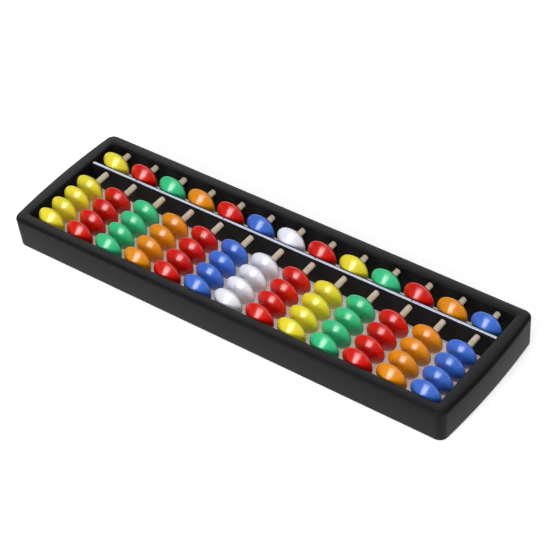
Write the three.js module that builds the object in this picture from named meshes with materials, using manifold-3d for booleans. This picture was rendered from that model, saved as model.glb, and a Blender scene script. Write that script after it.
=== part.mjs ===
// Thirteen-column abacus: an open tray frame with a dividing beam, thirteen rods across it,
// and on each rod one bead behind the beam and four in front of it.
//
// Millimetres, +Z up. The long side runs along X and the rods run along Y, with the single
// beads at the rear, +Y. The origin is on the desk, under the middle of the frame.

import * as THREE from 'three';
import { mergeVertices } from 'three/addons/utils/BufferGeometryUtils.js';
import Module from 'manifold-3d';

// ---------------------------------------------------------------- driving dimensions

const columnCount = 13;
const lowerBeadCount = 4;

const beadDiameter = 16.5;
const beadThickness = 9.35; // from hub face to hub face
const beadEdgeWidth = 1.2; // blunt band round the widest part
const hubDiameter = 6.4;
const boreClearance = 0.3; // between a bead's bore and its rod, all round
const columnGap = 2.0; // between the edges of beads in neighbouring columns
const endGap = 1.5; // between the last column's beads and the end wall

const lowerTravel = 8.25; // how far the lower beads slide to reach the beam
const upperTravel = 4.7; // how far the upper bead slides to reach the rear wall

const rodDiameter = 3.0;
const rodEndGap = 0.5; // between a rod's end and the outer wall

const railWidth = 6.3;
const wallThickness = 1.6;
const roofThickness = 2.2;
const rimAboveRod = 4.2;
const deskClearance = 5.1; // from the frame's underside to the lowest point of a bead
const wallDraft = 0.6; // how far the outer wall leans in at the bottom
const endBow = 1.6; // how far each short end bulges outwards
const outerCornerRadius = 4.7;
const innerCornerRadius = 1.2;
const outerEdgeRadius = 1.9;
const innerEdgeRadius = 0.9;

const beamThickness = 2.8;
const beamAboveRod = 3.05;
const beamBelowRod = 12.0;

const stripWidth = 1.25;
const stripThickness = 0.45;
const stripProud = 0.2; // how far the strip stands above the beam

const footLength = 16;
const footWidth = 4.6;
const footThickness = 0.5;
const footInset = 9; // from the end of the frame's straight side to the foot

const contactGap = 0.3; // kept between two pieces that touch
const tabRoot = 0.5; // how far a tab of the keeper ring runs into the ring itself
const cutPast = 0.5; // how far a cutter runs past the wall that it cuts

const beadSides = 12;
const rodSides = 12;
const cornerSteps = 5;
const bowSteps = 8;
const edgeSteps = 3;

// ---------------------------------------------------------------- derived places

const beadPitch = beadThickness + contactGap; // bead to bead along a rod
const columnPitch = beadDiameter + columnGap;
const rodRadius = rodDiameter / 2;
const boreRadius = rodRadius + boreClearance;

const lowerDeck = contactGap + lowerBeadCount * beadPitch + lowerTravel;
const upperDeck = contactGap + beadPitch + upperTravel;
const insideWidth = lowerDeck + beamThickness + upperDeck;
const insideLength = (columnCount - 1) * columnPitch + beadDiameter + 2 * endGap;
const frameWidth = insideWidth + 2 * railWidth;
const frameLength = insideLength + 2 * railWidth;

const frameBottom = footThickness + contactGap;
const rodHeight = frameBottom + deskClearance + beadDiameter / 2;
const frameTop = rodHeight + rimAboveRod;

const frontWall = -insideWidth / 2;
const beamFront = frontWall + lowerDeck;
const beamCentre = beamFront + beamThickness / 2;
const beamRear = beamFront + beamThickness;
const beamTop = rodHeight + beamAboveRod;
const beamBottom = rodHeight - beamBelowRod;

const channelOuter = wallDraft + wallThickness; // insets of the hollow inside the rails
const channelInner = railWidth - wallThickness;

const firstColumn = -((columnCount - 1) / 2) * columnPitch;
const columns = Array.from({ length: columnCount }, (_, i) => firstColumn + i * columnPitch);
const columnName = (i) => String(i + 1).padStart(2, '0');

// ---------------------------------------------------------------- finishes

const blackPlastic = new THREE.MeshStandardMaterial({ color: 0x1b1b1d, roughness: 0.42, metalness: 0 });
const blackRubber = new THREE.MeshStandardMaterial({ color: 0x151515, roughness: 0.85, metalness: 0 });
const whiteStrip = new THREE.MeshStandardMaterial({ color: 0xd9dae2, roughness: 0.35, metalness: 0.1 });
const bamboo = new THREE.MeshStandardMaterial({ color: 0xd8c49c, roughness: 0.6, metalness: 0 });

const beadPlastics = {
  yellow: 0xe3d52a,
  red: 0xd01c10,
  green: 0x3cba7b,
  orange: 0xe88a12,
  blue: 0x3f6ad0,
  white: 0xf1eff4,
};
const columnColours = [
  'yellow', 'red', 'green', 'orange', 'red', 'blue', 'white',
  'red', 'yellow', 'green', 'red', 'orange', 'blue',
];
const beadMaterials = Object.fromEntries(
  Object.entries(beadPlastics).map(([name, color]) => [
    name, new THREE.MeshStandardMaterial({ color, roughness: 0.18, metalness: 0 }),
  ]),
);

// ---------------------------------------------------------------- solids and cuts

const wasm = await Module();
wasm.setup();

function toSolid(geometry) {
  const bare = geometry.clone();
  bare.deleteAttribute('normal');
  bare.deleteAttribute('uv');
  const merged = mergeVertices(bare);
  return new wasm.Manifold(new wasm.Mesh({
    numProp: 3,
    vertProperties: merged.attributes.position.array,
    triVerts: new Uint32Array(merged.index.array),
  }));
}

function toGeometry(solid) {
  const mesh = solid.getMesh();
  const geometry = new THREE.BufferGeometry();
  geometry.setAttribute('position', new THREE.BufferAttribute(mesh.vertProperties, 3));
  geometry.setIndex(new THREE.BufferAttribute(mesh.triVerts, 1));
  return geometry;
}

// A box from its lowest corner to its highest.
function boxBetween(low, high) {
  const size = new THREE.Vector3().subVectors(high, low);
  const centre = new THREE.Vector3().addVectors(low, high).multiplyScalar(0.5);
  return new THREE.BoxGeometry(size.x, size.y, size.z).translate(centre.x, centre.y, centre.z);
}

// A round bar along Y, centred on the given place.
function barAlongY(radius, length, x, y, z, sides) {
  return new THREE.CylinderGeometry(radius, radius, length, sides).translate(x, y, z);
}

// ---------------------------------------------------------------- frame outline

// One closed outline of the frame, a distance `inset` in from its outer wall. The corners
// tighten and the bowed ends straighten towards the inside, which is a plain rectangle.
function frameOutline(inset) {
  const halfX = frameLength / 2 - inset;
  const halfY = frameWidth / 2 - inset;
  const radius = Math.max(outerCornerRadius - inset, innerCornerRadius);
  const bow = endBow * Math.max(0, 1 - inset / railWidth);
  const points = [];
  const quarter = Math.PI / 2;
  for (let corner = 0; corner < 4; corner += 1) {
    const signX = corner === 0 || corner === 3 ? 1 : -1;
    const signY = corner < 2 ? 1 : -1;
    for (let step = 0; step <= cornerSteps; step += 1) {
      const angle = quarter * (corner + step / cornerSteps);
      points.push(new THREE.Vector2(
        signX * (halfX - radius) + radius * Math.cos(angle),
        signY * (halfY - radius) + radius * Math.sin(angle),
      ));
    }
    if (corner % 2 === 1) {
      const side = corner === 1 ? -1 : 1;
      for (let step = 1; step < bowSteps; step += 1) {
        const along = 1 - (2 * step) / bowSteps;
        const y = -side * along * (halfY - radius);
        points.push(new THREE.Vector2(side * (halfX + bow * (1 - along * along)), y));
      }
    }
  }
  return points;
}

// A ring-shaped solid: the section, a closed list of [inset, height], carried round the frame.
function frameRing(section) {
  const rings = section.map(([inset, height]) => (
    frameOutline(inset).map((p) => new THREE.Vector3(p.x, p.y, height))
  ));
  const count = rings[0].length;
  const index = [];
  rings.forEach((ring, r) => {
    const next = (r + 1) % rings.length;
    for (let k = 0; k < count; k += 1) {
      const after = (k + 1) % count;
      const [a, b] = [r * count + k, r * count + after];
      const [c, d] = [next * count + after, next * count + k];
      index.push(a, b, c, a, c, d);
    }
  });
  const geometry = new THREE.BufferGeometry().setFromPoints(rings.flat());
  geometry.setIndex(index);
  return geometry;
}

// A quarter round in the section, from one angle to another, about [inset, height].
function sectionArc(inset, height, radius, from, to) {
  return Array.from({ length: edgeSteps + 1 }, (_, i) => {
    const angle = THREE.MathUtils.degToRad(from + ((to - from) * i) / edgeSteps);
    return [inset + radius * Math.cos(angle), height + radius * Math.sin(angle)];
  });
}

// ---------------------------------------------------------------- frame and keeper ring

// The frame is one hollow moulding, open underneath: an outer wall, a rim and an inner wall.
function frameShell() {
  const section = [
    [wallDraft, frameBottom],
    ...sectionArc(outerEdgeRadius, frameTop - outerEdgeRadius, outerEdgeRadius, 180, 90),
    ...sectionArc(railWidth - innerEdgeRadius, frameTop - innerEdgeRadius, innerEdgeRadius, 90, 0),
    [railWidth, frameBottom],
    [channelInner, frameBottom],
    [channelInner, frameTop - roofThickness],
    [channelOuter, frameTop - roofThickness],
    [channelOuter, frameBottom],
  ];
  return toSolid(frameRing(section));
}

// Slots through the inner walls, open underneath, that the rods and the beam are pushed up into.
const rodSlotHalf = rodRadius + contactGap;
const beamSlotHalf = beamThickness / 2 + contactGap;

// Where a cutter starts and ends, across the inner wall on one side of the tray.
function acrossWall(insideSize, side) {
  const face = insideSize / 2;
  const near = side * (face - cutPast);
  const far = side * (face + wallThickness + cutPast);
  return [Math.min(near, far), Math.max(near, far)];
}

function cutRodSlots(shell) {
  let solid = shell;
  for (const x of columns) {
    for (const side of [-1, 1]) {
      const [from, to] = acrossWall(insideWidth, side);
      const slot = toSolid(boxBetween(
        new THREE.Vector3(x - rodSlotHalf, from, frameBottom - cutPast),
        new THREE.Vector3(x + rodSlotHalf, to, rodHeight),
      ));
      const crown = barAlongY(rodSlotHalf, to - from, x, (from + to) / 2, rodHeight, rodSides);
      solid = solid.subtract(slot.add(toSolid(crown)));
    }
  }
  return solid;
}

function cutBeamSlots(shell) {
  let solid = shell;
  for (const side of [-1, 1]) {
    const [from, to] = acrossWall(insideLength, side);
    const slot = toSolid(boxBetween(
      new THREE.Vector3(from, beamCentre - beamSlotHalf, frameBottom - cutPast),
      new THREE.Vector3(to, beamCentre + beamSlotHalf, beamTop + contactGap),
    ));
    solid = solid.subtract(slot);
  }
  return solid;
}

// The keeper ring is pushed up into the hollow of the rails and shuts them from below. A tab
// fills each slot under its rod or beam end, and so holds that end up in the slot.
function keeperRing() {
  const outer = channelOuter + contactGap;
  const inner = channelInner - contactGap;
  const top = rodHeight - rodRadius - contactGap;
  let solid = toSolid(frameRing([
    [outer, frameBottom],
    [outer, top],
    [inner, top],
    [inner, frameBottom],
  ]));
  const reach = railWidth - inner; // from the ring's inner face to the rail's
  for (const x of columns) {
    for (const side of [-1, 1]) {
      const face = (side * insideWidth) / 2;
      const root = face + side * (reach + tabRoot);
      solid = solid.add(toSolid(boxBetween(
        new THREE.Vector3(x - rodRadius, Math.min(face, root), frameBottom),
        new THREE.Vector3(x + rodRadius, Math.max(face, root), top),
      )));
    }
  }
  for (const side of [-1, 1]) {
    const face = (side * insideLength) / 2;
    const root = face + side * (reach + tabRoot);
    solid = solid.add(toSolid(boxBetween(
      new THREE.Vector3(Math.min(face, root), beamCentre - beamThickness / 2, frameBottom),
      new THREE.Vector3(Math.max(face, root), beamCentre + beamThickness / 2, beamBottom - contactGap),
    )));
  }
  return solid;
}

// ---------------------------------------------------------------- beam and its strip

const beamLength = insideLength + 2 * (wallThickness - contactGap);
const grooveDepth = stripThickness + contactGap - stripProud;

// The beam is drilled for the rods, and has a groove along its top for the strip.
function beamSolid() {
  let solid = toSolid(boxBetween(
    new THREE.Vector3(-beamLength / 2, beamFront, beamBottom),
    new THREE.Vector3(beamLength / 2, beamRear, beamTop),
  ));
  for (const x of columns) {
    const hole = barAlongY(boreRadius, beamThickness + 2 * cutPast, x, beamCentre, rodHeight, rodSides);
    solid = solid.subtract(toSolid(hole));
  }
  const grooveHalf = stripWidth / 2 + contactGap;
  return solid.subtract(toSolid(boxBetween(
    new THREE.Vector3(-insideLength / 2, beamCentre - grooveHalf, beamTop - grooveDepth),
    new THREE.Vector3(insideLength / 2, beamCentre + grooveHalf, beamTop + cutPast),
  )));
}

function stripGeometry() {
  const stripEnd = insideLength / 2 - contactGap;
  const stripTop = beamTop + stripProud;
  return boxBetween(
    new THREE.Vector3(-stripEnd, beamCentre - stripWidth / 2, stripTop - stripThickness),
    new THREE.Vector3(stripEnd, beamCentre + stripWidth / 2, stripTop),
  );
}

// ---------------------------------------------------------------- beads

// One bead's outline from its front hub to its rear hub, as [radius, place along the rod].
function beadOutline(centre) {
  const half = beadThickness / 2;
  const edge = beadEdgeWidth / 2;
  return [
    [hubDiameter / 2, centre - half],
    [beadDiameter / 2, centre - edge],
    [beadDiameter / 2, centre + edge],
    [hubDiameter / 2, centre + half],
  ];
}

// `count` beads on one rod, hub against hub, turned as one solid round a common bore. The
// first bead's front hub is at Y = 0.
function beadStack(count) {
  const centres = Array.from({ length: count }, (_, i) => beadThickness / 2 + i * beadPitch);
  const outside = centres.flatMap(beadOutline);
  const last = outside[outside.length - 1][1];
  const profile = [[boreRadius, 0], ...outside, [boreRadius, last], [boreRadius, 0]];
  const points = profile.map(([radius, along]) => new THREE.Vector2(radius, along));
  return new THREE.LatheGeometry(points, beadSides);
}

// ---------------------------------------------------------------- the assembly

const abacus = new THREE.Group();

function place(name, geometry, material, x = 0, y = 0, z = 0) {
  const mesh = new THREE.Mesh(geometry, material);
  mesh.name = name;
  mesh.position.set(x, y, z);
  abacus.add(mesh);
}

place('frame', toGeometry(cutBeamSlots(cutRodSlots(frameShell()))), blackPlastic);
place('keeper_ring', toGeometry(keeperRing()), blackPlastic);
place('beam', toGeometry(beamSolid()), blackPlastic);
place('beam_strip', stripGeometry(), whiteStrip);

for (const [endName, side] of [['left', -1], ['right', 1]]) {
  for (const [railName, rail] of [['front', -1], ['rear', 1]]) {
    const x = side * (frameLength / 2 - outerCornerRadius - footInset - footLength / 2);
    const y = rail * (frameWidth / 2 - (wallDraft + railWidth) / 2);
    const pad = new THREE.BoxGeometry(footLength, footWidth, footThickness);
    place(`foot_${railName}_${endName}`, pad, blackRubber, x, y, footThickness / 2);
  }
}

const rodLength = insideWidth + 2 * (railWidth - channelOuter - rodEndGap);
const stackFront = frontWall + contactGap;
const joinedBeads = lowerBeadCount - 1; // the front beads of a column, which slide as one
const topLowerFront = stackFront + joinedBeads * beadPitch;
const upperFront = beamRear + contactGap;

columns.forEach((x, i) => {
  const column = columnName(i);
  const plastic = beadMaterials[columnColours[i % columnColours.length]];
  const rod = new THREE.CylinderGeometry(rodRadius, rodRadius, rodLength, rodSides);
  place(`rod_${column}`, rod, bamboo, x, 0, rodHeight);
  place(`lower_beads_${column}`, beadStack(joinedBeads), plastic, x, stackFront, rodHeight);
  place(`top_lower_bead_${column}`, beadStack(1), plastic, x, topLowerFront, rodHeight);
  place(`upper_bead_${column}`, beadStack(1), plastic, x, upperFront, rodHeight);
});

export default abacus;
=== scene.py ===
import math

import bmesh
import bpy
from mathutils import Matrix, Vector


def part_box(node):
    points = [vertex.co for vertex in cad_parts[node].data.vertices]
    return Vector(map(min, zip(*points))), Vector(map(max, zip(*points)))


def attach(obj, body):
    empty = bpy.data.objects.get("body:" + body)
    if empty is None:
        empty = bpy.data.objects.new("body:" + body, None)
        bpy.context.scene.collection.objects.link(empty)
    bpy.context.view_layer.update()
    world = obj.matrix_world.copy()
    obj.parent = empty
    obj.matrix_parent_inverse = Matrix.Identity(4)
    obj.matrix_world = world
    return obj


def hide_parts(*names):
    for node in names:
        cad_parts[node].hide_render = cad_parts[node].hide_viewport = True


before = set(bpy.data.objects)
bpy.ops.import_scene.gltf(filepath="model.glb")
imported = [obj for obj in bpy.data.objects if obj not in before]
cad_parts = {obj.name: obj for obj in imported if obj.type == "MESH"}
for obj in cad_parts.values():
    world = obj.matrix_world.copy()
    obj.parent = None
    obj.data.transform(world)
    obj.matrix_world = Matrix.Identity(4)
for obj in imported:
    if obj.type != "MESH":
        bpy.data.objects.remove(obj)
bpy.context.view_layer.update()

MM = 0.001


# ---------------------------------------------------------------------------------------
# Camera. A long lens looks down on the tray from its front right corner, with the body of
# the camera tipped a little, so that the right end of the picture dips.

CAMERA_PLACE = Vector((463.6, -523.4, 650.9)) * MM
CAMERA_AIM = Vector((7.8, 2.3, 8.9)) * MM
CAMERA_TIP = math.radians(-6.36)
CAMERA_LENS = 127.5
CAMERA_SENSOR = 36
CAMERA_NEAR = 10 * MM

camera_data = bpy.data.cameras.new("camera")
camera_data.sensor_width = CAMERA_SENSOR
camera_data.lens = CAMERA_LENS
camera_data.clip_start = CAMERA_NEAR
camera = bpy.data.objects.new("camera", camera_data)
bpy.context.scene.collection.objects.link(camera)
camera_turn = (CAMERA_AIM - CAMERA_PLACE).to_track_quat("-Z", "Y").to_matrix().to_4x4()
camera.matrix_world = (
    Matrix.Translation(CAMERA_PLACE) @ camera_turn @ Matrix.Rotation(CAMERA_TIP, 4, "Z")
)
bpy.context.scene.camera = camera
bpy.context.scene.view_settings.view_transform = "Standard"


# ---------------------------------------------------------------------------------------
# Frame. One injection moulding in satin black ABS, hollow and open underneath: an outer
# wall with a little draft, a softly crowned rim, and an inner wall that is slotted from
# below for the rods and the beam. The short ends bulge outwards.

FRAME_LOW, FRAME_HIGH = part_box("frame")
RAIL_WIDTH = 6.3 * MM
WALL = 1.6 * MM
ROOF = 2.2 * MM
END_BOW = 1.6 * MM
WALL_DRAFT = 0.6 * MM
OUTER_CORNER = 4.7 * MM
INNER_CORNER = 1.2 * MM
OUTER_EDGE = 1.9 * MM
INNER_EDGE = 0.9 * MM
FOOT_EDGE = 0.25 * MM
CROWN_ANGLE = 8
CORNER_STEPS = 14
BOW_STEPS = 24
CROWN_STEPS = 8
OUTER_STEPS = 10
INNER_STEPS = 8
FOOT_STEPS = 3
SMOOTH_UP_TO = 32
ROUND_OVER = 40
BLACK = (0.0055, 0.0055, 0.0064, 1)
BLACK_CLOUDED = (0.00825, 0.00825, 0.00992, 1)
BLACK_GLOSS = 0.075
BLACK_CLOUD = 22 * MM
SCUFF = 3 * MM
HANDLED = 0.42
HANDLED_ROUGHNESS = 0.36
HANDLED_DEPTH = 0.6 * MM
HANDLED_FADE = 0.5 * MM

HALF_LENGTH = (FRAME_HIGH.x - FRAME_LOW.x) / 2 - END_BOW
HALF_WIDTH = (FRAME_HIGH.y - FRAME_LOW.y) / 2
INSIDE_LENGTH = HALF_LENGTH - RAIL_WIDTH
INSIDE_WIDTH = HALF_WIDTH - RAIL_WIDTH
COLUMNS = [f"{number:02d}" for number in range(1, 14)]
COLUMN_PLACES = [sum(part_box(f"rod_{column}"), Vector()).x / 2 for column in COLUMNS]
ROD_HEIGHT = sum(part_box("rod_01"), Vector()).z / 2
CUT_PAST = 0.5 * MM


class Link:
    """One output in a node tree. Sums on it add Math nodes, so shading reads as arithmetic."""

    def __init__(self, tree, socket=None):
        self.tree = tree
        self.socket = socket

    def node(self, kind, settings, sockets, output=0):
        made = self.tree.nodes.new(kind)
        stops = settings.pop("stops", [])
        for name, value in settings.items():
            setattr(made, name, value)
        for index, (place, colour) in enumerate(stops):
            elements = made.color_ramp.elements
            stop = elements[index] if index < len(elements) else elements.new(place)
            stop.position = place
            stop.color = (*colour, 1)
        for name, value in sockets.items():
            if isinstance(value, Link):
                self.tree.links.new(value.socket, made.inputs[name])
            else:
                made.inputs[name].default_value = value
        return Link(self.tree, made.outputs[output])

    def math(self, operation, *values):
        return self.node("ShaderNodeMath", {"operation": operation}, dict(enumerate(values)))

    def size(self):
        """This value without its sign."""
        return self.math("ABSOLUTE", self)

    def root(self):
        return self.math("SQRT", self)

    def fraction(self):
        return self.math("FRACT", self)

    def mix(self, start, end):
        """A colour that goes from start to end as this value goes from 0 to 1."""
        settings = {"data_type": "RGBA"}
        return self.node("ShaderNodeMix", settings, {0: self, 6: start, 7: end}, output=2)

    def between(self, low, high):
        """This value, stretched so that low becomes 0 and high becomes 1, and held there."""
        span = {0: self, 1: low, 2: high, 3: 0.0, 4: 1.0}
        return self.node("ShaderNodeMapRange", {"clamp": True}, span)

    def stretch(self, x, y, z):
        scale = {0: self, 1: (x, y, z)}
        return self.node("ShaderNodeVectorMath", {"operation": "MULTIPLY"}, scale)

    def noise(self, grain, detail=2.0, roughness=0.5):
        """Cloudy noise over this place, with lumps about as large as grain."""
        sockets = {"Vector": self, "Scale": 1 / grain, "Detail": detail, "Roughness": roughness}
        return self.node("ShaderNodeTexNoise", {}, sockets)

    def bump(self, height, strength=1.0):
        sockets = {"Height": self, "Distance": height, "Strength": strength}
        return self.node("ShaderNodeBump", {}, sockets)

    def axis(self, letter):
        return self.node("ShaderNodeSeparateXYZ", {}, {0: self}, output="XYZ".index(letter))

    def __add__(self, other):
        return self.math("ADD", self, other)

    __radd__ = __add__

    def __sub__(self, other):
        return self.math("SUBTRACT", self, other)

    def __rsub__(self, other):
        return self.math("SUBTRACT", other, self)

    def __mul__(self, other):
        return self.math("MULTIPLY", self, other)

    __rmul__ = __mul__

    def __truediv__(self, other):
        return self.math("DIVIDE", self, other)


def new_finish(name):
    """A new material, its place socket in the piece's own frame, and its surface shader."""
    material = bpy.data.materials.new(name)
    material.use_nodes = True
    tree = material.node_tree
    shader = tree.nodes["Principled BSDF"]
    place = Link(tree).node("ShaderNodeTexCoord", {}, {}, output=3)
    return material, place, shader


def set_socket(shader, name, value):
    if isinstance(value, Link):
        value.tree.links.new(value.socket, shader.inputs[name])
    else:
        shader.inputs[name].default_value = value


def black_plastic(name, roughness, grain, handled_above=None):
    """Moulded black plastic, cloudy and a little scuffed, and polished by hands on high parts."""
    material, place, shader = new_finish(name)
    cloud = place.noise(BLACK_CLOUD, detail=3.0)
    fine = place.noise(grain, detail=2.0)
    rubbed = place.stretch(1.0, 0.25, 0.6).noise(SCUFF, detail=5.0, roughness=0.7)
    scuffs = rubbed.between(0.60, 0.78)
    set_socket(shader, "Base Color", cloud.mix(BLACK, BLACK_CLOUDED))
    set_socket(shader, "Roughness", roughness - 0.05 + 0.10 * cloud + 0.07 * scuffs)
    set_socket(shader, "Specular IOR Level", BLACK_GLOSS)
    set_socket(shader, "Normal", fine.bump(0.02 * MM, strength=0.5))
    if handled_above is not None:
        polish = place.axis("Z").between(handled_above, handled_above + HANDLED_FADE)
        set_socket(shader, "Coat Weight", HANDLED * polish)
        set_socket(shader, "Coat Roughness", HANDLED_ROUGHNESS)
    return material


def new_piece(name, mesh, material):
    """A named piece from a bmesh, with its normals outwards and its shallow edges shaded soft."""
    bmesh.ops.recalc_face_normals(mesh, faces=mesh.faces)
    data = bpy.data.meshes.new(name)
    mesh.to_mesh(data)
    mesh.free()
    piece = bpy.data.objects.new(name, data)
    bpy.context.scene.collection.objects.link(piece)
    data.materials.append(material)
    shade(data)
    return piece


def shade(data):
    data.shade_smooth()
    data.set_sharp_from_angle(angle=math.radians(SMOOTH_UP_TO))


def cut(piece, cutter, operation="DIFFERENCE"):
    """Cuts or joins one mesh with another, and leaves the result as the piece's own mesh."""
    boolean = piece.modifiers.new("cut", "BOOLEAN")
    boolean.object = cutter
    boolean.operation = operation
    boolean.solver = "EXACT"
    graph = bpy.context.evaluated_depsgraph_get()
    result = bpy.data.meshes.new_from_object(piece.evaluated_get(graph))
    piece.modifiers.clear()
    piece.data = result
    bpy.data.objects.remove(cutter)
    shade(result)


def round_edges(piece, radius, steps=3):
    """Rounds every edge that turns by more than the angle set above."""
    bevel = piece.modifiers.new("edges", "BEVEL")
    bevel.width = radius
    bevel.segments = steps
    bevel.limit_method = "ANGLE"
    bevel.angle_limit = math.radians(ROUND_OVER)
    graph = bpy.context.evaluated_depsgraph_get()
    result = bpy.data.meshes.new_from_object(piece.evaluated_get(graph))
    piece.modifiers.clear()
    piece.data = result
    shade(result)


def ring_outline(inset):
    """One closed loop of the frame, from its rear right corner round by the left."""
    half_x = HALF_LENGTH - inset
    half_y = HALF_WIDTH - inset
    radius = max(OUTER_CORNER - inset, INNER_CORNER)
    bow = END_BOW * max(0, 1 - inset / RAIL_WIDTH)

    def corner(index, sign_x, sign_y):
        middle = Vector((sign_x * (half_x - radius), sign_y * (half_y - radius)))
        for step in range(CORNER_STEPS + 1):
            angle = math.pi / 2 * (index + step / CORNER_STEPS)
            yield middle + radius * Vector((math.cos(angle), math.sin(angle)))

    def end(side):
        for step in range(1, BOW_STEPS):
            along = 1 - 2 * step / BOW_STEPS
            y = -side * along * (half_y - radius)
            yield Vector((side * (half_x + bow * (1 - along * along)), y))

    rear = [*corner(0, 1, 1), *corner(1, -1, 1)]
    front = [*corner(2, -1, -1), *corner(3, 1, -1)]
    return [*rear, *end(-1), *front, *end(1)]


def ring_mesh(section):
    """A closed section of (inset, height) pairs, carried once round the frame."""
    mesh = bmesh.new()
    loops = []
    for inset, height in section:
        outline = ring_outline(inset)
        loops.append([mesh.verts.new((point.x, point.y, height)) for point in outline])
    count = len(loops[0])
    for index, loop in enumerate(loops):
        following = loops[(index + 1) % len(loops)]
        for step in range(count):
            after = (step + 1) % count
            corners = (loop[step], loop[after], following[after], following[step])
            mesh.faces.new(corners)
    return mesh


def arc(inset, height, radius, start, stop, steps):
    """Points of a round in the section, with its angles in degrees."""
    for step in range(steps + 1):
        angle = math.radians(start + (stop - start) * step / steps)
        yield inset + radius * math.cos(angle), height + radius * math.sin(angle)


def rim_section():
    """The rim: a large outer round, a gentle crown and a small inner round, all tangent."""
    lean = math.radians(CROWN_ANGLE)
    outer_end = OUTER_EDGE * (1 - math.sin(lean))
    inner_end = RAIL_WIDTH - INNER_EDGE * (1 - math.sin(lean))
    crown = (inner_end - outer_end) / 2 / math.sin(lean)
    shoulder = FRAME_HIGH.z - crown * (1 - math.cos(lean))
    middle = (inner_end + outer_end) / 2
    outer_height = shoulder - OUTER_EDGE * math.cos(lean)
    inner_height = shoulder - INNER_EDGE * math.cos(lean)
    crown_height = FRAME_HIGH.z - crown
    high, low = 90 + CROWN_ANGLE, 90 - CROWN_ANGLE
    return [
        *arc(OUTER_EDGE, outer_height, OUTER_EDGE, 180, high, OUTER_STEPS),
        *list(arc(middle, crown_height, crown, high, low, CROWN_STEPS))[1:-1],
        *arc(RAIL_WIDTH - INNER_EDGE, inner_height, INNER_EDGE, low, 0, INNER_STEPS),
    ]


def box_mesh(mesh, low, high):
    """Adds a closed box between two corners to a mesh."""
    made = bmesh.ops.create_cube(mesh, size=1)["verts"]
    size = Vector(high) - Vector(low)
    middle = (Vector(high) + Vector(low)) / 2
    for vert in made:
        vert.co = Vector((vert.co.x * size.x, vert.co.y * size.y, vert.co.z * size.z)) + middle


def bar_along_y(mesh, radius, x, start, stop, z, sides=40):
    """Adds a closed round bar that runs along Y to a mesh."""
    turn = Matrix.Rotation(math.pi / 2, 4, "X")
    turn.translation = (x, (start + stop) / 2, z)
    bmesh.ops.create_cone(
        mesh, cap_ends=True, segments=sides, radius1=radius, radius2=radius,
        depth=abs(stop - start), matrix=turn,
    )


def across_wall(inside, side):
    """Where a cutter starts and stops across the inner wall on one side."""
    ends = (side * (inside - CUT_PAST), side * (inside + WALL + CUT_PAST))
    return min(ends), max(ends)


frame_finish = black_plastic(
    "satin_black_moulding",
    roughness=0.42,
    grain=0.35 * MM,
    handled_above=FRAME_HIGH.z - HANDLED_DEPTH,
)
channel_outer = WALL_DRAFT + WALL
channel_inner = RAIL_WIDTH - WALL
channel_top = FRAME_HIGH.z - ROOF
floor_edge = FRAME_LOW.z
shell = ring_mesh([
    *arc(WALL_DRAFT + FOOT_EDGE, floor_edge + FOOT_EDGE, FOOT_EDGE, 270, 180, FOOT_STEPS),
    *rim_section(),
    *arc(RAIL_WIDTH - FOOT_EDGE, floor_edge + FOOT_EDGE, FOOT_EDGE, 360, 270, FOOT_STEPS),
    (channel_inner, floor_edge),
    (channel_inner, channel_top),
    (channel_outer, channel_top),
    (channel_outer, floor_edge),
])
tray = new_piece("tray_frame", shell, frame_finish)

ROD_SLOT = 1.62 * MM
slots = bmesh.new()
for x in COLUMN_PLACES:
    for side in (-1, 1):
        start, stop = across_wall(INSIDE_WIDTH, side)
        low = (x - ROD_SLOT, start, floor_edge - CUT_PAST)
        box_mesh(slots, low, (x + ROD_SLOT, stop, ROD_HEIGHT))
cut(tray, new_piece("rod_slots", slots, frame_finish))
crowns = bmesh.new()
for x in COLUMN_PLACES:
    for side in (-1, 1):
        start, stop = across_wall(INSIDE_WIDTH, side)
        bar_along_y(crowns, ROD_SLOT, x, start, stop, ROD_HEIGHT)
cut(tray, new_piece("slot_crowns", crowns, frame_finish))

BEAM_LOW, BEAM_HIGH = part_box("beam")
BEAM_CLEARANCE = 0.15 * MM
slots = bmesh.new()
for side in (-1, 1):
    start, stop = across_wall(INSIDE_LENGTH, side)
    low = (start, BEAM_LOW.y - BEAM_CLEARANCE, floor_edge - CUT_PAST)
    box_mesh(slots, low, (stop, BEAM_HIGH.y + BEAM_CLEARANCE, BEAM_HIGH.z + BEAM_CLEARANCE))
cut(tray, new_piece("beam_slots", slots, frame_finish))
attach(tray, "tray")
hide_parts("frame")


# ---------------------------------------------------------------------------------------
# Keeper ring. A second black moulding, duller than the frame, that is pushed up into the
# hollow of the rails from below. Its tabs fill the slots under the ends of the rods and
# of the beam, and so hold them up.

RING_LOW, RING_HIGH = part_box("keeper_ring")
RING_GAP = 0.2 * MM
RING_EDGE = 0.2 * MM
TAB_HALF = 1.5 * MM
TAB_ROOT = 0.5 * MM

ring_finish = black_plastic("dull_black_moulding", roughness=0.52, grain=0.5 * MM)
ring_outer = channel_outer + RING_GAP
ring_inner = channel_inner - RING_GAP
keeper = new_piece("keeper", ring_mesh([
    (ring_outer, RING_LOW.z),
    (ring_outer, RING_HIGH.z),
    (ring_inner, RING_HIGH.z),
    (ring_inner, RING_LOW.z),
]), ring_finish)
tab_reach = RAIL_WIDTH - ring_inner + TAB_ROOT
tabs = bmesh.new()
for side in (-1, 1):
    root = side * (INSIDE_WIDTH + tab_reach)
    face = side * INSIDE_WIDTH
    for x in COLUMN_PLACES:
        low = (x - TAB_HALF, min(face, root), RING_LOW.z)
        box_mesh(tabs, low, (x + TAB_HALF, max(face, root), RING_HIGH.z))
    root = side * (INSIDE_LENGTH + tab_reach)
    face = side * INSIDE_LENGTH
    low = (min(face, root), BEAM_LOW.y, RING_LOW.z)
    box_mesh(tabs, low, (max(face, root), BEAM_HIGH.y, BEAM_LOW.z - RING_GAP))
cut(keeper, new_piece("tabs", tabs, ring_finish), operation="UNION")
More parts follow.
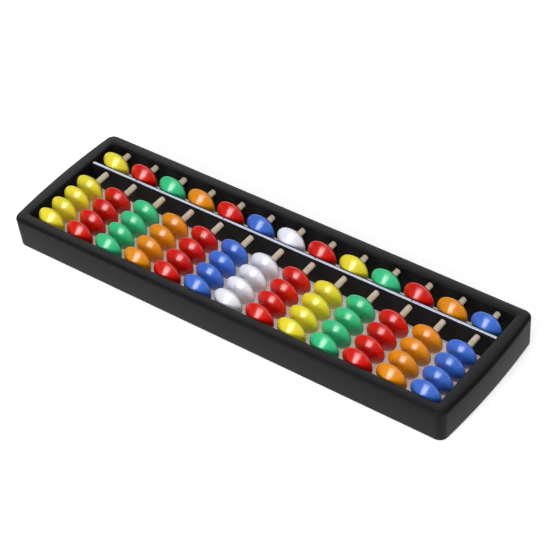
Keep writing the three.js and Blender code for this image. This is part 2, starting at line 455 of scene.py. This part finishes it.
round_edges(keeper, RING_EDGE, steps=2)
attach(keeper, "tray")
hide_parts("keeper_ring")


# ---------------------------------------------------------------------------------------
# Beam. A black plastic bar across the tray, drilled for the thirteen rods, with a shallow
# groove along its top. Its ends sit in slots in the frame's end walls.

BEAM_EDGE = 0.35 * MM
BEAM_HOLE = 1.62 * MM
GROOVE_HALF = 0.91 * MM
GROOVE_DEPTH = 0.5 * MM

beam_finish = black_plastic("beam_plastic", roughness=0.36, grain=0.3 * MM)
bar = bmesh.new()
box_mesh(bar, BEAM_LOW, BEAM_HIGH)
beam = new_piece("dividing_beam", bar, beam_finish)
round_edges(beam, BEAM_EDGE, steps=4)
holes = bmesh.new()
for x in COLUMN_PLACES:
    bar_along_y(holes, BEAM_HOLE, x, BEAM_LOW.y - CUT_PAST, BEAM_HIGH.y + CUT_PAST, ROD_HEIGHT)
beam_middle = (BEAM_LOW.y + BEAM_HIGH.y) / 2
low = (-INSIDE_LENGTH, beam_middle - GROOVE_HALF, BEAM_HIGH.z - GROOVE_DEPTH)
box_mesh(holes, low, (INSIDE_LENGTH, beam_middle + GROOVE_HALF, BEAM_HIGH.z + CUT_PAST))
cut(beam, new_piece("holes", holes, beam_finish))
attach(beam, "tray")
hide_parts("beam")


# ---------------------------------------------------------------------------------------
# Reckoning strip. A thin strip of pale silvery plastic pressed into the beam's groove,
# with rounded top edges. Four small round unit marks are printed on it in dark ink, one at
# every third column.

STRIP_LOW, STRIP_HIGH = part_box("beam_strip")
STRIP_EDGE = 0.14 * MM
STRIP_PALE = (0.60, 0.66, 0.80, 1)
STRIP_SILVER = (0.66, 0.71, 0.85, 1)
STRIP_INK = (0.035, 0.035, 0.05, 1)
STRIP_DRAW_LINE = 0.5 * MM
MARK_RADIUS = 0.48 * MM
MARK_BLUR = 0.12 * MM
MARK_SPACING = COLUMN_PLACES[4] - COLUMN_PLACES[1]
MARK_OFFSET = Vector((0.45, 0.144)) * MM

strip_finish, place, shader = new_finish("silver_white_strip")
turns = (place.axis("X") - COLUMN_PLACES[1] - MARK_OFFSET.x) / MARK_SPACING + 0.5
along = (turns.fraction() - 0.5) * MARK_SPACING
across = place.axis("Y") - (STRIP_LOW.y + STRIP_HIGH.y) / 2 - MARK_OFFSET.y
distance = (along * along + across * across).root()
ink = 1 - distance.between(MARK_RADIUS - MARK_BLUR, MARK_RADIUS)
drawn = place.stretch(0.05, 1.0, 1.0).noise(STRIP_DRAW_LINE, detail=2.0)
pale = drawn.mix(STRIP_PALE, STRIP_SILVER)
set_socket(shader, "Base Color", ink.mix(pale, STRIP_INK))
set_socket(shader, "Roughness", 0.30 + 0.06 * drawn + 0.2 * ink)
set_socket(shader, "Metallic", 0.25)
bar = bmesh.new()
box_mesh(bar, STRIP_LOW, STRIP_HIGH)
strip = new_piece("reckoning_strip", bar, strip_finish)
round_edges(strip, STRIP_EDGE, steps=3)
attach(strip, "tray")
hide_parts("beam_strip")


# ---------------------------------------------------------------------------------------
# Rods. Thirteen bare bamboo dowels, cut to length with a slight chamfer, that run through
# the beam and are held at both ends in the frame. The grain runs along each rod.

ROD_LOW, ROD_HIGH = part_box("rod_01")
ROD_RADIUS = 1.5 * MM
ROD_CHAMFER = 0.3 * MM
ROD_SIDES = 36
FIBRE = 0.22 * MM
STREAK = 0.9 * MM
BAMBOO_PALE = (0.96, 0.84, 0.67, 1)
BAMBOO_DARK = (0.86, 0.68, 0.48, 1)


def lathe(outline, sides):
    """Turns a list of (radius, place along Y) round the Y axis; its ends are left open."""
    mesh = bmesh.new()
    loops = []
    for radius, along in outline:
        loop = []
        for side in range(sides):
            angle = 2 * math.pi * side / sides
            point = (radius * math.cos(angle), along, radius * math.sin(angle))
            loop.append(mesh.verts.new(point))
        loops.append(loop)
    for loop, following in zip(loops, loops[1:]):
        for side in range(sides):
            after = (side + 1) % sides
            mesh.faces.new((loop[side], loop[after], following[after], following[side]))
    return mesh, loops


bamboo, place, shader = new_finish("bare_bamboo")
fibres = place.stretch(1.0, 0.035, 1.0).noise(FIBRE, detail=4.0, roughness=0.65)
streaks = place.stretch(1.0, 0.02, 1.0).noise(STREAK, detail=2.0)
tone = fibres.between(0.3, 0.7) * 0.6 + streaks.between(0.35, 0.65) * 0.4
set_socket(shader, "Base Color", tone.mix(BAMBOO_PALE, BAMBOO_DARK))
set_socket(shader, "Roughness", 0.48 + 0.2 * fibres)
set_socket(shader, "Normal", fibres.bump(0.03 * MM, strength=0.5))
rod_half = (ROD_HIGH.y - ROD_LOW.y) / 2
rod_outline = [
    (ROD_RADIUS - ROD_CHAMFER, -rod_half),
    (ROD_RADIUS, -rod_half + ROD_CHAMFER),
    (ROD_RADIUS, rod_half - ROD_CHAMFER),
    (ROD_RADIUS - ROD_CHAMFER, rod_half),
]
for number, column in enumerate(COLUMNS):
    mesh, loops = lathe(rod_outline, ROD_SIDES)
    mesh.faces.new(loops[0])
    mesh.faces.new(loops[-1])
    rod = new_piece(f"bamboo_rod_{column}", mesh, bamboo)
    rod.location = (COLUMN_PLACES[number], 0, ROD_HEIGHT)
    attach(rod, "tray")
    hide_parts(f"rod_{column}")


# ---------------------------------------------------------------------------------------
# Beads. Sixty-five glossy double cones in moulded plastic, a little fuller than true
# cones, with a fine parting edge round the widest part. Each runs loose on its rod: four
# in front of the beam and one behind it, in one colour to a column.

BEAD_LOW, BEAD_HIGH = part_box("top_lower_bead_01")
STACK_LOW, STACK_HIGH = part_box("lower_beads_01")
BEAD_RADIUS = (BEAD_HIGH.x - BEAD_LOW.x) / 2
BEAD_PITCH = (STACK_HIGH.y - STACK_LOW.y - (BEAD_HIGH.y - BEAD_LOW.y)) / 2
HUB_FULLNESS = 0.1 * MM
BEAD_HALF = (BEAD_HIGH.y - BEAD_LOW.y) / 2 + HUB_FULLNESS
BORE = 1.75 * MM
HUB = 3.0 * MM
HUB_ROUND = 0.45 * MM
BORE_CHAMFER = 0.3 * MM
RIM_ROUND = 0.5 * MM
CONE_START = 0.06 * MM
CONE_BULGE = 0.26 * MM
EDGE_HIGHLIGHT_HALF = 0.12 * MM
EDGE_HIGHLIGHT_FADE = 0.20 * MM
TINT_CLOUD = 5 * MM
RUB_MARK = 0.7 * MM
PATTERN_SHIFT = 0.1
BEAD_SIDES = 72
CONE_STEPS = 14

BEAD_COLOURS = {
    "yellow": (0.72, 0.62, 0.028),
    "red": (0.57, 0.006, 0.0015),
    "green": (0.032, 0.48, 0.20),
    "orange": (0.70, 0.235, 0.004),
    "blue": (0.042, 0.135, 0.55),
    "white": (0.73, 0.74, 0.81),
}
COLUMN_COLOURS = [
    "yellow", "red", "green", "orange", "red", "blue", "white",
    "red", "yellow", "green", "red", "orange", "blue",
]


def bead_outline():
    """Half of a bead's outline, from the bore out to the widest part, at the front."""
    start = Vector((HUB, -BEAD_HALF + CONE_START))
    stop = Vector((BEAD_RADIUS - RIM_ROUND * 0.35, -RIM_ROUND))
    across = stop - start
    outwards = Vector((across.y, -across.x)).normalized()
    if outwards.x < 0:
        outwards = -outwards
    points = [
        (BORE, -BEAD_HALF + BORE_CHAMFER),
        (BORE + BORE_CHAMFER * 0.35, -BEAD_HALF + BORE_CHAMFER * 0.3),
        (BORE + BORE_CHAMFER, -BEAD_HALF),
        (HUB - HUB_ROUND, -BEAD_HALF),
    ]
    for step in range(CONE_STEPS + 1):
        share = step / CONE_STEPS
        bulge = CONE_BULGE * 4 * share * (1 - share)
        point = start + across * share + outwards * bulge
        points.append((point.x, point.y))
    points.append((BEAD_RADIUS - RIM_ROUND * 0.06, -RIM_ROUND * 0.45))
    return points


def bead_mesh():
    half = bead_outline()
    outline = [*half, (BEAD_RADIUS, 0), *[(radius, -along) for radius, along in reversed(half)]]
    mesh, loops = lathe(outline, BEAD_SIDES)
    for side in range(BEAD_SIDES):
        after = (side + 1) % BEAD_SIDES
        mesh.faces.new((loops[0][side], loops[0][after], loops[-1][after], loops[-1][side]))
    return mesh


def bead_plastic(name, colour):
    """Glossy moulded plastic: cloudy tint, fine rub marks and a painted highlight, a paler band
    along the parting edge.
    """
    material, place, shader = new_finish(f"glossy_{name}")
    lot = place.node("ShaderNodeObjectInfo", {}, {}, output=5)
    moved = {0: place, 1: lot * PATTERN_SHIFT}
    shifted = place.node("ShaderNodeVectorMath", {"operation": "ADD"}, moved)
    cloud = shifted.noise(TINT_CLOUD, detail=3.0)
    rubs = shifted.stretch(1.0, 0.3, 1.0).noise(RUB_MARK, detail=4.0, roughness=0.6)
    # Painted highlight: a paler band round the widest part of the bead, where the rounded edge
    # catches the light, is mixed into the base colour below.
    edge = 1 - place.axis("Y").size().between(EDGE_HIGHLIGHT_HALF, EDGE_HIGHLIGHT_HALF + EDGE_HIGHLIGHT_FADE)
    deep = tuple(part * 0.90 for part in colour)
    light = tuple(min(part * 1.06, 0.95) for part in colour)
    pale = tuple(part + (1 - part) * 0.10 for part in colour)
    shade_of_lot = cloud.between(0.3, 0.7) * 0.6 + lot * 0.4
    body = shade_of_lot.mix((*deep, 1), (*light, 1))
    set_socket(shader, "Base Color", (edge * 0.7).mix(body, (*pale, 1)))
    set_socket(shader, "Roughness", 0.22 + 0.05 * rubs.between(0.45, 0.75) + 0.10 * edge)
    set_socket(shader, "Specular IOR Level", 0.56)
    set_socket(shader, "Normal", rubs.bump(0.01 * MM, strength=0.25))
    return material


bead_shapes = {}
for colour_name, colour in BEAD_COLOURS.items():
    shape = new_piece("bead_shape", bead_mesh(), bead_plastic(colour_name, colour))
    bead_shapes[colour_name] = shape.data
    bpy.data.objects.remove(shape)


def add_bead(name, column, along, body, node):
    """One bead on a column's rod, on its own body, standing for its place in the model."""
    colour_name = COLUMN_COLOURS[column]
    bead = bpy.data.objects.new(name, bead_shapes[colour_name])
    bpy.context.scene.collection.objects.link(bead)
    bead.location = (COLUMN_PLACES[column], along, ROD_HEIGHT)
    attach(bead, body)
    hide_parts(node)


for number, column in enumerate(COLUMNS):
    stack_low, stack_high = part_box(f"lower_beads_{column}")
    first = stack_low.y + (BEAD_HIGH.y - BEAD_LOW.y) / 2
    for place_in_stack in range(3):
        along = first + place_in_stack * BEAD_PITCH
        name = f"earth_bead_{column}_{place_in_stack + 1}"
        add_bead(name, number, along, f"lower_{column}", f"lower_beads_{column}")
    top = sum(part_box(f"top_lower_bead_{column}"), Vector()).y / 2
    name = f"earth_bead_{column}_4"
    add_bead(name, number, top, f"top_lower_{column}", f"top_lower_bead_{column}")
    upper = sum(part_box(f"upper_bead_{column}"), Vector()).y / 2
    name = f"heaven_bead_{column}"
    add_bead(name, number, upper, f"upper_{column}", f"upper_bead_{column}")


# ---------------------------------------------------------------------------------------
# Feet. Four matt black rubber pads with rounded corners, stuck under the rails near the
# corners of the frame.

FOOT_CORNER = 1.6 * MM
FOOT_ROUND = 0.25 * MM
FOOT_CORNER_STEPS = 8
RUBBER = (0.012, 0.012, 0.012, 1)
RUBBER_DUSTY = (0.035, 0.034, 0.032, 1)
RUBBER_SPECKLE = 0.4 * MM
DUST_PATCH = 4 * MM

rubber, place, shader = new_finish("matt_rubber")
speckle = place.noise(RUBBER_SPECKLE, detail=3.0)
dust = place.noise(DUST_PATCH, detail=4.0).between(0.5, 0.8)
set_socket(shader, "Base Color", (dust * 0.5).mix(RUBBER, RUBBER_DUSTY))
set_socket(shader, "Roughness", 0.78 + 0.15 * speckle)
set_socket(shader, "Normal", speckle.bump(0.03 * MM, strength=0.5))


def pad_mesh(low, high):
    """A flat pad with rounded corners and softened top and bottom edges."""
    mesh = bmesh.new()
    middle = (low + high) / 2
    half = (high - low) / 2
    loops = []
    levels = [
        (FOOT_ROUND, low.z),
        (0, low.z + FOOT_ROUND),
        (0, high.z - FOOT_ROUND),
        (FOOT_ROUND, high.z),
    ]
    for inset, height in levels:
        loop = []
        radius = FOOT_CORNER - inset
        for corner, (sign_x, sign_y) in enumerate([(1, 1), (-1, 1), (-1, -1), (1, -1)]):
            for step in range(FOOT_CORNER_STEPS + 1):
                angle = math.pi / 2 * (corner + step / FOOT_CORNER_STEPS)
                x = middle.x + sign_x * (half.x - FOOT_CORNER) + radius * math.cos(angle)
                y = middle.y + sign_y * (half.y - FOOT_CORNER) + radius * math.sin(angle)
                loop.append(mesh.verts.new((x, y, height)))
        loops.append(loop)
    for loop, following in zip(loops, loops[1:]):
        for step in range(len(loop)):
            after = (step + 1) % len(loop)
            mesh.faces.new((loop[step], loop[after], following[after], following[step]))
    mesh.faces.new(loops[0])
    mesh.faces.new(loops[-1])
    return mesh


for rail in ("front", "rear"):
    for end in ("left", "right"):
        node = f"foot_{rail}_{end}"
        pad = new_piece(f"rubber_pad_{rail}_{end}", pad_mesh(*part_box(node)), rubber)
        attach(pad, "tray")
        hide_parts(node)


# ---------------------------------------------------------------------------------------
# Floor and light. A large matt white floor under a dim studio. The floor glows a little as
# painted light: fully outside the tray, to wash out the shadows round it, and with a weaker
# warm glow inside the tray that stands in for light bounced between the beads. Soft panels
# stand in front, at the right and behind on the left, and one hangs overhead, all far enough
# away to light the floor evenly.

FLOOR_HALF = 12.0
FLOOR_PALE = (0.88, 0.88, 0.88, 1)
FLOOR_GREY = (0.86, 0.86, 0.86, 1)
FLOOR_GLOW = 0.50
GLOW_OUTSIDE = (1.0, 1.0, 1.0, 1)
GLOW_INSIDE = (0.50, 0.43, 0.39, 1)
GLOW_FADE = 8 * MM
PANEL_DISTANCE = 4.0
STUDIO_GLOW = [(0.0, 0.35), (0.13, 0.28), (0.30, 0.13), (1.0, 0.12)]

floor_finish, place, shader = new_finish("white_floor")
tone = place.noise(0.5, detail=2.0)
set_socket(shader, "Base Color", tone.mix(FLOOR_GREY, FLOOR_PALE))
set_socket(shader, "Roughness", 0.9)
set_socket(shader, "Specular IOR Level", 0.1)
past_length = place.axis("X").size() - HALF_LENGTH
past_width = place.axis("Y").size() - HALF_WIDTH
# Painted light: the floor glows fully outside the tray, washing out the shadows round it, and
# with a weaker warm glow inside it.
outside = past_length.math("MAXIMUM", past_length, past_width).between(-GLOW_FADE, 0)
set_socket(shader, "Emission Color", outside.mix(GLOW_INSIDE, GLOW_OUTSIDE))
set_socket(shader, "Emission Strength", FLOOR_GLOW)
sheet = bmesh.new()
bmesh.ops.create_grid(sheet, x_segments=1, y_segments=1, size=FLOOR_HALF)
floor = new_piece("floor", sheet, floor_finish)


def add_panel(name, bearing, height, width, tall, radiance):
    """A soft panel, placed by its bearing from +Y towards +X and its height in degrees."""
    size = [2 * PANEL_DISTANCE * math.tan(math.radians(angle / 2)) for angle in (width, tall)]
    panel = bpy.data.lights.new(name, "AREA")
    panel.shape = "RECTANGLE"
    panel.size, panel.size_y = size
    panel.energy = radiance * math.pi * size[0] * size[1]
    lamp = bpy.data.objects.new(name, panel)
    bpy.context.scene.collection.objects.link(lamp)
    turn, rise = math.radians(bearing), math.radians(height)
    flat = math.cos(rise)
    towards = Vector((math.sin(turn) * flat, math.cos(turn) * flat, math.sin(rise)))
    lamp.location = towards * PANEL_DISTANCE
    lamp.rotation_euler = (-towards).to_track_quat("-Z", "Y").to_euler()


add_panel("front_panel", bearing=186, height=26, width=28, tall=25, radiance=11.5)
add_panel("right_panel", bearing=102, height=26, width=56, tall=40, radiance=1.0)
add_panel("back_left_panel", bearing=-42, height=28, width=80, tall=46, radiance=1.0)
add_panel("top_panel", bearing=140, height=68, width=38, tall=38, radiance=1.9)

world = bpy.data.worlds.new("studio")
world.use_nodes = True
bpy.context.scene.world = world
direction = Link(world.node_tree).node("ShaderNodeTexCoord", {}, {}, output=0)
height = direction.axis("Z")
stops = [(place, (level, level, level)) for place, level in STUDIO_GLOW]
glow = height.node("ShaderNodeValToRGB", {"stops": stops}, {0: height})
backdrop = world.node_tree.nodes["Background"]
world.node_tree.links.new(glow.socket, backdrop.inputs["Color"])
backdrop.inputs["Strength"].default_value = 1.0
